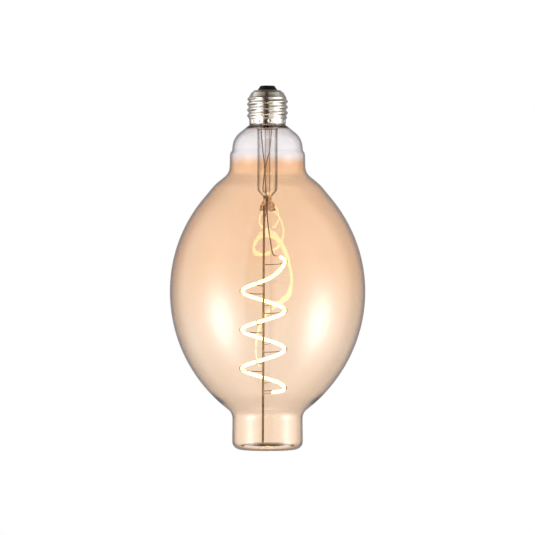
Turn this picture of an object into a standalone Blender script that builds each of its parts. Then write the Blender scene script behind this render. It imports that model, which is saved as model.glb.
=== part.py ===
"""Large tinted filament lamp with a medium screw cap and a driver hidden in the cap.

The lamp hangs down from its cap: the origin is the centre of the centre contact's outer face,
+Z points up out of the cap, and the glass reaches down to the flat end. Lists of sizes are in
millimetres and are turned into metres by the helpers.
"""

import math

import bmesh
import bpy
import numpy as np

MM = 0.001

# Driving dimensions, in millimetres.
OVERALL_LENGTH = 232.5
GLASS_RADIUS = 62.5
GLASS_WALL = 1.0
CAP_BOTTOM = -24.6
THREAD_PITCH = 3.629
THREAD_MEAN_RADIUS = 12.55
THREAD_DEPTH = 1.1
THREAD_START = -8.0
THREAD_END = -20.4
CREST_HEIGHT = -10.15
SHELL_SHEET = 0.35
NECK_RADIUS = 10.2
NECK_TOP = -16.5
STEM_RADIUS = 6.5
PRESS_TOP = -70.1
PRESS_BOTTOM = -80.8
ROD_RADIUS = 0.75
ROD_TOP = (-2.2, 0.0, -76.4)
ROD_BOTTOM = (-3.0, 0.0, -228.4)
COIL_RADIUS = 13.6
COIL_PITCH = 24.75
COIL_START = -41.0
COIL_END = 1147.0
COIL_END_LIFT = 2.4
FILAMENT_RADIUS = 1.15
LEAD_RADIUS = 0.3
RETURN_RADIUS = 0.25
HOOK_RADIUS = 0.2
BOARD_TOP = -11.2
BOARD_THICKNESS = 1.0
GAP = 0.3
CHORD_ERROR = 0.2
TURN_STEPS = 32
SMALL_STEPS = 20

LEAD_HOLE = (-0.2, 0.0)
RETURN_HOLE = (-0.9, -1.6)
STUB_HOLE = (-0.9, 1.6)

# Where each hook stands round the coil, in degrees from the right-hand side, clockwise from above.
HOOK_ANGLES = [0, 107, 180, 290, 360, 467, 540, 650, 720, 827, 900, 1010, 1080]

# Finish name: base colour, roughness, metallic, transmission.
FINISHES = {
    "nickel_plate": ((0.72, 0.68, 0.62), 0.22, 1.0, 0.0),
    "black_vitrite": ((0.012, 0.011, 0.012), 0.25, 0.0, 0.0),
    "solder": ((0.62, 0.62, 0.60), 0.35, 1.0, 0.0),
    "cap_cement": ((0.55, 0.47, 0.36), 0.85, 0.0, 0.0),
    "board_green": ((0.03, 0.16, 0.06), 0.45, 0.0, 0.0),
    "can_black": ((0.02, 0.02, 0.025), 0.4, 0.0, 0.0),
    "ferrite": ((0.05, 0.045, 0.045), 0.6, 0.0, 0.0),
    "chip_black": ((0.015, 0.015, 0.015), 0.5, 0.0, 0.0),
    "fuse_blue": ((0.05, 0.22, 0.35), 0.5, 0.0, 0.0),
    "shield_tin": ((0.7, 0.7, 0.68), 0.3, 1.0, 0.0),
    "tinned_copper": ((0.55, 0.50, 0.44), 0.35, 1.0, 0.0),
    "amber_glass": ((0.93, 0.70, 0.50), 0.02, 0.0, 1.0),
    "clear_glass": ((0.93, 0.93, 0.91), 0.03, 0.0, 1.0),
    "nickel_wire": ((0.42, 0.30, 0.20), 0.35, 1.0, 0.0),
    "phosphor": ((1.0, 0.80, 0.42), 0.55, 0.0, 0.0),
    "copper": ((0.80, 0.38, 0.16), 0.3, 1.0, 0.0),
}


def make_collection(name):
    """A new collection linked to the scene."""
    collection = bpy.data.collections.new(name)
    bpy.context.scene.collection.children.link(collection)
    return collection


def finish(name):
    """The Principled material of one finish, made the first time it is asked for."""
    if name in bpy.data.materials:
        return bpy.data.materials[name]
    colour, roughness, metallic, transmission = FINISHES[name]
    material = bpy.data.materials.new(name)
    material.use_nodes = True
    shader = material.node_tree.nodes["Principled BSDF"]
    shader.inputs["Base Color"].default_value = (*colour, 1.0)
    shader.inputs["Roughness"].default_value = roughness
    shader.inputs["Metallic"].default_value = metallic
    shader.inputs["Transmission Weight"].default_value = transmission
    return material


def add_object(name, data, finish_name):
    """Links a mesh or curve to the lamp's collection as one named sub-part."""
    data.materials.append(finish(finish_name))
    item = bpy.data.objects.new(name, data)
    PARTS.objects.link(item)
    return item


def add_cutter(name, data, location):
    """Links a mesh as a hidden cutting tool."""
    item = bpy.data.objects.new(name, data)
    item.location = location
    item.hide_render = True
    item.display_type = "WIRE"
    CUTTERS.objects.link(item)
    return item


def shade_round(mesh, sharp_degrees=35.0):
    """Smooth shading with the real corners left sharp."""
    mesh.shade_smooth()
    mesh.set_sharp_from_angle(angle=math.radians(sharp_degrees))


def fillet(corners, error=CHORD_ERROR):
    """Rounds an outline of (radius, height, fillet) corners by arcs tangent to both their sides.

    Each arc has the fewest chords that keep within error of it.
    """
    points = []
    last = len(corners) - 1
    for index, (radius, height, bend) in enumerate(corners):
        corner = np.array([radius, height])
        if bend == 0 or index in (0, last):
            points.append(corner)
            continue
        back = np.array(corners[index - 1][:2]) - corner
        ahead = np.array(corners[index + 1][:2]) - corner
        back /= np.linalg.norm(back)
        ahead /= np.linalg.norm(ahead)
        turn = math.pi - math.acos(float(np.clip(back @ ahead, -1.0, 1.0)))
        middle = (back + ahead) / np.linalg.norm(back + ahead)
        centre = corner + middle * bend / math.cos(turn / 2)
        arm = corner + back * bend * math.tan(turn / 2) - centre
        side = 1.0 if back[0] * ahead[1] - back[1] * ahead[0] < 0 else -1.0
        chord = 2 * math.acos(max(0.0, 1 - error / bend))
        steps = max(1, math.ceil(turn / chord))
        for step in range(steps + 1):
            angle = side * turn * step / steps
            cosine, sine = math.cos(angle), math.sin(angle)
            points.append(centre + (arm[0] * cosine - arm[1] * sine, arm[0] * sine + arm[1] * cosine))
    return points


def turned(name, outline, finish_name, steps=TURN_STEPS, closed=False):
    """Spins an outline of (radius, height) points once round Z with a Screw modifier."""
    mesh = bpy.data.meshes.new(name)
    verts = [(radius * MM, 0.0, height * MM) for radius, height in outline]
    edges = [(i, i + 1) for i in range(len(verts) - 1)]
    if closed:
        edges.append((len(verts) - 1, 0))
    mesh.from_pydata(verts, edges, [])
    item = add_object(name, mesh, finish_name)
    screw = item.modifiers.new("turn", "SCREW")
    screw.steps = steps
    screw.render_steps = steps
    screw.use_merge_vertices = True
    screw.merge_threshold = 0.00001
    return item


def apply_modifiers(item):
    """Replaces an object's mesh by its evaluated one, and drops its modifiers."""
    graph = bpy.context.evaluated_depsgraph_get()
    graph.update()
    mesh = bpy.data.meshes.new_from_object(item.evaluated_get(graph))
    item.modifiers.clear()
    item.data = mesh
    return item


def wall(item, thickness):
    """Gives an open surface a wall on its inner side."""
    solidify = item.modifiers.new("wall", "SOLIDIFY")
    solidify.thickness = thickness * MM
    solidify.offset = -1.0
    solidify.use_even_offset = True


def wire(name, points, radius, finish_name):
    """A round wire with filled ends through points in millimetres."""
    curve = bpy.data.curves.new(name, "CURVE")
    curve.dimensions = "3D"
    curve.bevel_depth = radius * MM
    curve.bevel_resolution = 2
    curve.use_fill_caps = True
    spline = curve.splines.new("POLY")
    spline.points.add(len(points) - 1)
    for knot, (x, y, z) in zip(spline.points, points):
        knot.co = (x * MM, y * MM, z * MM, 1.0)
    return add_object(name, curve, finish_name)


def smooth_path(points, steps=4):
    """Catmull-Rom points through a hand-placed route, steps to each stretch."""
    route = np.array(points, dtype=float)
    padded = np.vstack([2 * route[0] - route[1], route, 2 * route[-1] - route[-2]])
    path = []
    for i in range(1, len(padded) - 2):
        a, b, c, d = padded[i - 1:i + 3]
        for step in range(steps):
            t = step / steps
            path.append(0.5 * (2 * b + (c - a) * t + (2 * a - 5 * b + 4 * c - d) * t**2
                               + (3 * b - a - 3 * c + d) * t**3))
    path.append(route[-1])
    return path


def cylinder_mesh(name, radius, height, steps=SMALL_STEPS):
    """A solid cylinder round its own centre."""
    mesh = bpy.data.meshes.new(name)
    bm = bmesh.new()
    bmesh.ops.create_cone(bm, cap_ends=True, segments=steps, radius1=radius * MM,
                          radius2=radius * MM, depth=height * MM)
    bm.to_mesh(mesh)
    bm.free()
    return mesh


def standing_cylinder(name, radius, height, foot, finish_name, edge=0.0):
    """A cylinder standing on the point foot, its rims rounded by edge."""
    item = add_object(name, cylinder_mesh(name, radius, height), finish_name)
    item.location = (foot[0] * MM, foot[1] * MM, (foot[2] + height / 2) * MM)
    if edge:
        bevel_edges(item, edge)
    return item


def bevel_edges(item, width, segments=2):
    """Rounds an object's sharp edges."""
    bevel = item.modifiers.new("edges", "BEVEL")
    bevel.width = width * MM
    bevel.segments = segments
    bevel.limit_method = "ANGLE"


def standing_box(name, size, foot, finish_name, edge=0.15):
    """A box of the given size standing on the point foot, with rounded edges."""
    mesh = bpy.data.meshes.new(name)
    bm = bmesh.new()
    bmesh.ops.create_cube(bm, size=1.0)
    bmesh.ops.scale(bm, vec=[side * MM for side in size], verts=bm.verts)
    bm.to_mesh(mesh)
    bm.free()
    item = add_object(name, mesh, finish_name)
    item.location = (foot[0] * MM, foot[1] * MM, (foot[2] + size[2] / 2) * MM)
    bevel_edges(item, edge, segments=1)
    return item


def smooth_step(value, low, high):
    """Rises from 0 at low to 1 at high along a smooth S."""
    t = np.clip((value - low) / (high - low), 0.0, 1.0)
    return t * t * (3 - 2 * t)


def screw_shell():
    """The rolled sheet shell: a turned blank whose wall is pushed out along a right-hand helix."""
    dome = fillet([(6.8, -2.95, 0), (8.3, -3.1, 1.5), (10.9, -6.0, 3.0), (11.9, -7.6, 0)])
    rows = np.arange(THREAD_START, THREAD_END - 0.1, -THREAD_PITCH / 4)
    skirt = [(11.75, THREAD_END - 0.9), (11.7, THREAD_END - 1.6), (11.7, CAP_BOTTOM + 0.5), (11.7, CAP_BOTTOM)]
    blank = [*dome, *((THREAD_MEAN_RADIUS, height) for height in rows), *skirt]
    item = apply_modifiers(turned("screw_shell", blank, "nickel_plate", steps=32))
    for vert in item.data.vertices:
        height = vert.co.z / MM
        ends = smooth_step(-height, -THREAD_START - 0.4, -THREAD_START + 1.0)
        ends *= 1 - smooth_step(-height, -THREAD_END - 0.8, -THREAD_END + 0.5)
        angle = math.atan2(vert.co.y, vert.co.x)
        phase = 2 * math.pi * (height - CREST_HEIGHT) / THREAD_PITCH - angle
        radius = math.hypot(vert.co.x, vert.co.y)
        push = THREAD_DEPTH / 2 * math.cos(phase) * ends * MM
        vert.co.x *= 1 + push / radius
        vert.co.y *= 1 + push / radius
    wall(item, SHELL_SHEET)
    shade_round(item.data)


def cap_head():
    """The black insulator, pinched in the shell's top, and the centre contact riveted through it."""
    insulator = [(4.9, -0.2), (6.4, -2.9), (6.5, -4.1), (7.5, -4.3), (7.9, -5.0), (1.2, -5.0),
                 (1.2, -0.95), (4.7, -0.95), (4.7, -0.2)]
    turned("cap_insulator", insulator, "black_vitrite", steps=24, closed=True)
    contact = fillet([(0, 0, 0), (4.4, 0, 0.3), (4.4, -0.65, 0), (0.9, -0.65, 0), (0.9, -5.0, 0), (0, -5.0, 0)])
    turned("centre_contact", contact, "solder", steps=SMALL_STEPS)


def driver():
    """The driver board across the cap, its parts, and the wires that feed it."""
    deck = BOARD_TOP + GAP
    board = standing_cylinder("driver_board", 10.0, BOARD_THICKNESS,
                              (0, 0, BOARD_TOP - BOARD_THICKNESS), "board_green")
    cut_hole(board, "lead_slot", (-3.9, -2.6), 0.65, BOARD_TOP - 2, BOARD_TOP + 1)
    cut_hole(board, "return_slot", (2.0, 2.8), 0.6, BOARD_TOP - 2, BOARD_TOP + 1)
    standing_cylinder("smoothing_capacitor", 2.5, 5.2, (-4.9, 2.6, deck), "can_black", edge=0.3)
    drum = [(0, 4.6), (2.6, 4.6), (2.6, 3.9), (1.9, 3.9), (1.9, 0.7), (2.6, 0.7), (2.6, 0), (0, 0)]
    coil = turned("driver_inductor", drum, "ferrite", steps=SMALL_STEPS)
    coil.location = (5.4 * MM, 3.9 * MM, deck * MM)
    standing_box("bridge_rectifier", (3.6, 3.4, 2.2), (-6.2, -2.2, deck), "chip_black")
    standing_box("driver_chip", (4.9, 3.9, 1.5), (4.2, -2.0, deck), "chip_black")
    standing_box("radio_board", (9.5, 0.8, 4.8), (0, -6.2, deck), "board_green", edge=0.1)
    standing_box("radio_shield", (6.0, 1.2, 3.4), (0, -7.5, deck + 0.4), "shield_tin", edge=0.1)
    standing_cylinder("fuse_resistor", 1.15, 4.3, (0, 6.2, deck), "fuse_blue", edge=0.3)
    fuse_top = deck + 4.3 + GAP
    wire("live_wire", [(0, 0, -5.3), (0, 1.2, -5.65), (0, 6.2, -5.65), (0, 6.2, fuse_top)],
         LEAD_RADIUS, "tinned_copper")
    wire("neutral_wire", [(8.4, 0, deck), (9.6, 0, -9.9), (10.6, 0, -8.9)], LEAD_RADIUS, "tinned_copper")


def cut_hole(item, name, centre, radius, low, high):
    """Cuts a vertical round hole between two heights."""
    tool = cylinder_mesh(name, radius, high - low, steps=12)
    cutter = add_cutter(name, tool, (centre[0] * MM, centre[1] * MM, (low + high) / 2 * MM))
    boolean = item.modifiers.new(name, "BOOLEAN")
    boolean.operation = "DIFFERENCE"
    boolean.object = cutter


def base_cement():
    """The ring of cement between the glass neck and the shell's skirt."""
    inner, outer = NECK_RADIUS + GAP, NECK_RADIUS + GAP + 0.5
    top, bottom = NECK_TOP - 0.6, CAP_BOTTOM + 0.6
    ring = [(outer, top), (outer, bottom), (inner, bottom), (inner, top)]
    turned("base_cement", ring, "cap_cement", steps=28, closed=True)


def glass_envelope():
    """The blown envelope: neck, shoulder, stepped collar, long oval body and a flat end with a punt."""
    end = -OVERALL_LENGTH
    outline = [
        (NECK_RADIUS, NECK_TOP, 0),
        (NECK_RADIUS, -24.0, 0.8),
        (13.9, -27.0, 0.8),
        (21.9, -33.4, 12.5),
        (22.7, -42.1, 1.2),
        (24.0, -43.0, 1.2),
        (24.3, -55.8, 8.5),
        (33.5, -63.2, 25.0),
        (GLASS_RADIUS, -97.9, 92.0),
        (GLASS_RADIUS, -177.7, 94.5),
        (22.35, -209.2, 7.0),
        (22.65, end, 5.2),
        (15.9, end, 0.5),
        (14.6, end + 2.5, 0.8),
        (0, end + 2.5, 0),
    ]
    item = turned("glass_envelope", fillet(outline), "amber_glass")
    wall(item, GLASS_WALL)
    shade_round(item.data)


def stem():
    """The flared stem tube, the pinched press that seals the wires, and the tipped-off exhaust tube."""
    outside = [(10.1, -15.3, 0), (10.1, -16.2, 0), (8.8, -16.3, 0.6), (8.8, -22.8, 2.0), (9.6, -25.3, 0.7),
               (8.6, -26.7, 0.9), (STEM_RADIUS, -27.9, 1.4), (STEM_RADIUS, -67.5, 3.0), (3.6, -70.6, 0)]
    inside = [(3.6, -69.5, 0), (5.4, -67.6, 1.5), (5.4, -27.2, 1.2), (7.2, -26.0, 0.9), (7.7, -24.4, 0.9),
              (7.7, -15.3, 0)]
    turned("stem_flare_tube", [*fillet(outside), *fillet(inside)], "clear_glass",
           steps=28, closed=True)
    outline = [(0, PRESS_TOP, 0), (3.2, PRESS_TOP, 0.4), (2.95, -72.5, 3.0), (4.1, -77.5, 2.0),
               (4.1, PRESS_BOTTOM, 1.2), (0, PRESS_BOTTOM, 0)]
    press = apply_modifiers(turned("stem_press", fillet(outline), "clear_glass", steps=24))
    for vert in press.data.vertices:
        pinch = smooth_step(-vert.co.z / MM, 72.5, 78.5)
        vert.co.x *= 1 + 0.22 * pinch
        vert.co.y *= 1 - 0.36 * pinch
    cut_hole(press, "lead_hole", LEAD_HOLE, 0.6, PRESS_BOTTOM - 1, PRESS_TOP + 1)
    cut_hole(press, "return_hole", RETURN_HOLE, 0.55, PRESS_BOTTOM - 1, PRESS_TOP + 1)
    cut_hole(press, "stub_hole", STUB_HOLE, 0.55, -73.0, PRESS_TOP + 1)
    cut_hole(press, "rod_hole", ROD_TOP[:2], ROD_RADIUS + GAP, PRESS_BOTTOM - 1, -76.0)
    tube = [*fillet([(0, -13.2, 0), (1.8, -13.2, 1.5), (1.8, -68.0, 0)]),
            *fillet([(1.1, -68.0, 0), (1.1, -15.2, 0.8), (0, -15.2, 0)])]
    turned("exhaust_tube", tube, "clear_glass", steps=16)


def rod_point(height):
    """The centre of the leaning support rod at a height."""
    t = (height - ROD_TOP[2]) / (ROD_BOTTOM[2] - ROD_TOP[2])
    return ROD_TOP[0] + t * (ROD_BOTTOM[0] - ROD_TOP[0])


def coil_height(angle):
    """The filament's height at an angle in degrees: an even helix, steeper at first and flatter at last."""
    even = -131.3 - COIL_PITCH * (angle - 180.0) / 360.0
    last = COIL_END_LIFT / 2 * (1 + math.tanh((angle - COIL_END + 25.0) / 20.0))
    return even + 3.4 * (1 - math.tanh((angle - 45.0) / 32.0)) + last


def coil_point(angle, radius=COIL_RADIUS):
    """A point of the filament, going clockwise from above as it goes down: a right-hand helix."""
    height = coil_height(angle)
    turn = math.radians(angle)
    return (rod_point(height) + radius * math.cos(turn), -radius * math.sin(turn), height)


def filament():
    """The coiled filament strip and the metal pins at its two ends."""
    angles = np.linspace(COIL_START, COIL_END, 81)
    wire("led_filament", [coil_point(angle) for angle in angles], FILAMENT_RADIUS, "phosphor")
    x, y, z = coil_point(COIL_START - 2.0)
    wire("top_electrode", [(x, y, z), (x - 1.9, y - 0.9, z + 0.3)], 0.5, "copper")
    x, y, z = coil_point(COIL_END + 2.0)
    rod_x = rod_point(z - 1.1)
    clear = ROD_RADIUS + GAP + 0.4
    wire("bottom_electrode", [(x, y, z), (x - 1.8, y + 0.1, z - 0.4), (rod_x + 0.4, y + 1.6, z - 0.7),
                              (rod_x, -clear, z - 1.1)], 0.4, "copper")


def wires():
    """The two leads from the driver, the stub in the stem, and the rod that carries the filament."""
    under = BOARD_TOP - BOARD_THICKNESS - GAP
    hx, hy = LEAD_HOLE
    x, y, z = coil_point(COIL_START - 2.0)
    lead = smooth_path([(-3.9, -2.6, under + 0.8), (-4.0, -2.6, -25), (-3.0, -2.8, -40), (-1.7, -2.9, -53.4),
                        (-2.7, -2.2, -64), (-2.4, -1.7, -67.8), (hx, hy, PRESS_TOP + 0.2)])
    lead += [np.array([hx, hy, PRESS_BOTTOM])]
    lead += smooth_path([(hx + 0.1, 0.2, -83), (0.6, 1.2, -90.7), (3.2, 4.9, -106.5),
                         (x - 2.5, y - 1.3, z + 0.4)])
    wire("lead_wire_top", lead, LEAD_RADIUS, "nickel_wire")
    hx, hy = RETURN_HOLE
    back = smooth_path([(2.0, 2.8, under + 0.8), (3.4, 0.4, -16.5), (3.1, -2.2, -21.5), (2.6, -2.9, -27),
                        (1.5, -3.6, -39.7), (0.0, -4.0, -47), (-1.3, -4.1, -53.5), (-1.2, -3.4, -64),
                        (-1.0, -2.5, -68.2), (hx, hy, PRESS_TOP + 0.2)])
    back += [np.array(point) for point in [(hx, hy, PRESS_BOTTOM), (-1.5, -1.45, -84), (-2.2, -1.3, -87.5)]]
    wire("lead_wire_return", back, RETURN_RADIUS, "nickel_wire")
    hx, hy = STUB_HOLE
    wire("press_stub_wire", [(hx, hy, -72.6), (hx, hy, PRESS_TOP + 0.2), (-1.1, 2.5, -68.2), (-1.2, 2.6, -63.3)],
         RETURN_RADIUS, "nickel_wire")
    wire("support_rod", [ROD_TOP, ROD_BOTTOM], ROD_RADIUS, "nickel_wire")


def hooks():
    """Thin wires from the rod to the filament, each ending in a hook in a plane through the rod."""
    clear = ROD_RADIUS + GAP + HOOK_RADIUS
    bend = FILAMENT_RADIUS + GAP + 0.25
    for number, angle in enumerate(HOOK_ANGLES, start=1):
        height = coil_height(angle)
        turn = math.radians(angle)
        path = [(clear, height - 2.0)]
        for around in np.radians(np.linspace(-130, 60, 8)):
            path.append((COIL_RADIUS + bend * math.cos(around), height + bend * math.sin(around)))
        centre = rod_point(height)
        points = [(centre + out * math.cos(turn), -out * math.sin(turn), z) for out, z in path]
        wire(f"hook_wire_{number:02d}", points, HOOK_RADIUS, "nickel_wire")


for old in list(bpy.data.objects):
    bpy.data.objects.remove(old, do_unlink=True)

PARTS = make_collection("filament_lamp")
CUTTERS = make_collection("cutters")

screw_shell()
cap_head()
driver()
base_cement()
glass_envelope()
stem()
filament()
wires()
hooks()
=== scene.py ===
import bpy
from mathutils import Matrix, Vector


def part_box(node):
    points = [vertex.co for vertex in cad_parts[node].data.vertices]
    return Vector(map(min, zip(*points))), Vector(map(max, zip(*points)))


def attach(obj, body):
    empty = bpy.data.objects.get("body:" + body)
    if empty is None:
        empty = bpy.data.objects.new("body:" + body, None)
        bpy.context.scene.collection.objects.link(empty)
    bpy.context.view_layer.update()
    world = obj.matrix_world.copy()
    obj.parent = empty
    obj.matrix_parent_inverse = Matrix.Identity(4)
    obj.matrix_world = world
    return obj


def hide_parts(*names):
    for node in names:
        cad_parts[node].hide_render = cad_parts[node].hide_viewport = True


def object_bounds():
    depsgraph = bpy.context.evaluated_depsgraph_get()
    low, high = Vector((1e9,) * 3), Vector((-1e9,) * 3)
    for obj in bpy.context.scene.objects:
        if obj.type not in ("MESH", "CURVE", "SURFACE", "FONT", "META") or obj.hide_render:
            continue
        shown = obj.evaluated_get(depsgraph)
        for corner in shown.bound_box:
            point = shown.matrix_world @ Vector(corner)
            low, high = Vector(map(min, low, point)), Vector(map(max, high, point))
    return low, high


bl_info = {
    "name": "Filament Lamp",
    "version": (1, 0, 0),
    "blender": (4, 5, 0),
    "location": "View3D > Sidebar > Lamp",
    "description": "Builds a large tinted filament lamp with a screw cap, round its packed frame",
    "category": "Add Mesh",
}

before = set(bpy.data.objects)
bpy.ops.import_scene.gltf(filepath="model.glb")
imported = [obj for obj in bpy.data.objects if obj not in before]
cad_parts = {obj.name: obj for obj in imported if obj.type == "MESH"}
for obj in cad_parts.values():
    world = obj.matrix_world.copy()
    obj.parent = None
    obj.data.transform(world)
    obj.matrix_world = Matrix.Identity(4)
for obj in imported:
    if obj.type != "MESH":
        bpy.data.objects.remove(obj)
CAD_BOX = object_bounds()

import math

import bmesh
import bpy
import numpy as np
from bpy.props import FloatProperty, FloatVectorProperty, IntProperty, PointerProperty

MM = 0.001

# Places read from the frame, in millimetres.
GLASS_LOW, GLASS_HIGH = (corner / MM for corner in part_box("glass_envelope"))
SHELL_LOW, SHELL_HIGH = (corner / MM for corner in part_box("screw_shell"))
PRESS_LOW, PRESS_HIGH = (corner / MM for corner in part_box("stem_press"))
ROD_LOW, ROD_HIGH = (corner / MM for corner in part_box("support_rod"))
BOARD_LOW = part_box("driver_board")[0] / MM
GLASS_RADIUS = GLASS_HIGH.x
GLASS_END = GLASS_LOW.z
NECK_TOP = GLASS_HIGH.z

# Sizes shared with the frame's design, in millimetres. The coil's start and end are angles in degrees.
THREAD_PITCH = 3.629
THREAD_MEAN_RADIUS = 12.55
THREAD_DEPTH = 1.1
THREAD_START = -8.0
THREAD_END = -20.4
CREST_HEIGHT = -10.15
SHELL_SHEET = 0.35
NECK_RADIUS = 10.2
STEM_RADIUS = 6.5
ROD_RADIUS = 0.75
ROD_TOP_X = -2.2
ROD_BOTTOM_X = -3.0
COIL_RADIUS = 13.6
COIL_PITCH = 24.75
COIL_START = -41.0
COIL_END = 1147.0
COIL_HALF_TURN_HEIGHT = -131.3
COIL_START_LIFT = 6.8
COIL_END_LIFT = 2.4
STRIP_RADIUS = 1.15
LEAD_HOLE = (-0.2, 0.0)
RETURN_HOLE = (-0.9, -1.6)
STUB_HOLE = (-0.9, 1.6)

# Four hooks to a turn, in degrees, over three turns, and one more where the fourth begins.
HOOK_TURNS = 3
HOOK_ANGLES = [360 * turn + step for turn in range(HOOK_TURNS) for step in (0, 107, 180, 290)]
HOOK_ANGLES.append(360 * HOOK_TURNS)

# Sizes of the finer shapes, in millimetres. A bead on the inner wall has a height, a depth and a width.
# DENT_SPREAD is in square millimetres and DENT_TURN, which turns the ring of dents, is in radians.
NECK_BEAD = (-26.6, 1.3, 0.7)
WAIST_BEAD = (-204.0, 0.45, 5.0)
GLASS_WAVE = 0.12
DENT_HEIGHT = -23.0
DENT_SPREAD = 0.45
DENT_TURN = 0.16
STRIP_STEP = 0.35
STRIP_ROUNDING = 0.9
CHIP_SPACING = 1.1
LEAD_WIRE_RADIUS = 0.36
RETURN_WIRE_RADIUS = 0.3
STUB_WIRE_RADIUS = 0.28
HOOK_WIRE_RADIUS = 0.25
TOP_PIN_RADIUS = 0.5
BOTTOM_PIN_RADIUS = 0.4
FLOOR_DROP = 250.0
FLOOR_RADIUS = 1400.0
FLOOR_THICKNESS = 4.0

# The camera stands level with the lamp's middle: distance and width of view in metres, sensor in millimetres.
CAMERA_DISTANCE = 1.8
FRAME_WIDTH = 0.342
SENSOR_WIDTH = 36.0

# The soft lamp overhead: size and height in metres, power in watts.
TOP_LIGHT_SIZE = 1.4
TOP_LIGHT_HEIGHT = 1.2
TOP_LIGHT_POWER = 12.0

# The studio that mirrors see: linear colours, and where the soft lamps stand, in degrees from the camera.
STUDIO_SIDES = (1.25, 1.23, 1.20)
STUDIO_BACK = (0.36, 0.33, 0.33)
STUDIO_TOP = (0.09, 0.085, 0.06)
STUDIO_BOTTOM = (0.04, 0.03, 0.025)
STUDIO_GAP = (0.06, 0.028, 0.016)
SOFT_LAMPS = (-59.0, 67.0)
SOFT_LAMP_COLOUR = (7.2, 7.3, 7.6)
SOFT_LAMP_WIDTH = 0.32
SOFT_LAMP_HEIGHT = -0.31
SOFT_LAMP_TALL = 0.33
SOFT_LAMP_INSIDE = 0.15
# Where each part of the studio begins and is full: angles from its middle in radians, heights as sines.
STUDIO_TURN = 0.15
BACK_BLEND = (1.8, 2.2)
TOP_BLEND = (0.55, 0.92)
BOTTOM_BLEND = (-0.35, -0.80)
GAP_BLEND = (0.27, 0.36)

# How strongly all the glass bends light.
GLASS_IOR = 1.5

# The envelope's glass: what one wall leaves of white light where it is clear, where a coat of thickness 1
# covers it, and a painted shadow of the cement at the neck, a dark brown band. Heights are in millimetres.
CLEAR_GLASS = (0.91, 0.89, 0.91)
AMBER_COAT = (0.95, 0.76, 0.60)
NECK_PAINTED_SHADOW = (0.40, 0.23, 0.14)
NECK_SHADOW_TOP, NECK_SHADOW_END = -24.0, -28.0
# The coat's tint is deepest along its upper edge, even down the shoulder and paler on the lower body, where
# the paler tint is painted light. Each entry is a height and a thickness; AMBER_COAT is raised to the power
# of the thickness.
COAT_EDGE, COAT_END = -44.0, -225.0
COAT_UNEVENNESS = 4.0
COAT_NOISE_SCALE = 60.0
COAT_DEPTH_AND_PAINTED_LIGHT = [(-50.0, 1.4), (-60.0, 1.0), (-110.0, 1.0), (-165.0, 0.6), (COAT_END, 0.7)]


# Outlines and surfaces

def round_outline(corners, spacing):
    """An even run of (radius, height) points along straight sides joined by tangent arcs.

    Each corner (radius, height, bend) is replaced by the arc of radius bend that touches both of its
    sides; the whole line is then cut into equal steps of about spacing.
    """
    points = []
    for index, (radius, height, bend) in enumerate(corners):
        corner = np.array([radius, height], float)
        if bend == 0 or index in (0, len(corners) - 1):
            points.append(corner[None])
            continue
        back = np.array(corners[index - 1][:2]) - corner
        ahead = np.array(corners[index + 1][:2]) - corner
        back /= np.linalg.norm(back)
        ahead /= np.linalg.norm(ahead)
        turn = math.pi - math.acos(float(np.clip(back @ ahead, -1.0, 1.0)))
        middle = (back + ahead) / np.linalg.norm(back + ahead)
        centre = corner + middle * bend / math.cos(turn / 2)
        arm = corner + back * bend * math.tan(turn / 2) - centre
        side = 1.0 if back[0] * ahead[1] - back[1] * ahead[0] < 0 else -1.0
        swing = side * turn * np.linspace(0, 1, 33)[:, None]
        across = np.array([-arm[1], arm[0]])
        points.append(centre + arm * np.cos(swing) + across * np.sin(swing))
    return even_steps(np.vstack(points), spacing)


def even_steps(points, spacing):
    """The same line cut again into equal steps, by interpolating along its length."""
    steps = np.linalg.norm(np.diff(points, axis=0), axis=1)
    length = np.concatenate([[0.0], np.cumsum(steps)])
    count = max(2, int(round(length[-1] / spacing)) + 1)
    places = np.linspace(0, length[-1], count)
    return np.stack([np.interp(places, length, column) for column in points.T], axis=1)


def inward(outline, distance):
    """The outline moved by distance along its normals, to the inner side of a line that runs down."""
    slope = np.gradient(outline, axis=0)
    slope /= np.linalg.norm(slope, axis=1, keepdims=True)
    moved = outline + distance * np.stack([slope[:, 1], -slope[:, 0]], axis=1)
    moved[:, 0] = np.maximum(moved[:, 0], 0.0)
    return moved


def bead(outline, height, depth, width):
    """The outline with a bell-shaped bead towards the axis.

    Its depth falls off as e to the minus square of the height from the bead's middle, counted in widths.
    """
    along = np.concatenate([[0.0], np.cumsum(np.hypot(*np.diff(outline, axis=0).T))])
    near = along[np.abs(outline[:, 1] - height) < 4 * width]
    places = np.union1d(along, np.arange(near[0], near[-1], width / 3))
    fine = np.column_stack([np.interp(places, along, outline[:, 0]), np.interp(places, along, outline[:, 1])])
    fine[:, 0] -= depth * np.exp(-(((fine[:, 1] - height) / width) ** 2))
    return fine


def spin(outline, columns, push=None):
    """A turned surface: point (radius, height) at angle a lies at (radius cos a, radius sin a, height).

    push(radius, height, angle) gives a change of radius over the whole grid.
    """
    angle = np.arange(columns) * 2 * math.pi / columns
    radius, angles = np.meshgrid(outline[:, 0], angle, indexing="ij")
    height = np.repeat(outline[:, 1][:, None], columns, axis=1)
    if push is not None:
        radius = np.where(radius > 0, radius + push(radius, height, angles), 0.0)
    return np.stack([radius * np.cos(angles), radius * np.sin(angles), height], axis=2)


def frames(path, guide):
    """For each point of a path: two unit vectors across it, the first leaning to guide."""
    along = np.gradient(path, axis=0)
    along /= np.linalg.norm(along, axis=1, keepdims=True)
    guide = np.broadcast_to(np.asarray(guide, float), path.shape)
    first = guide - along * np.sum(guide * along, axis=1, keepdims=True)
    first /= np.linalg.norm(first, axis=1, keepdims=True)
    return first, np.cross(first, along)


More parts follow.
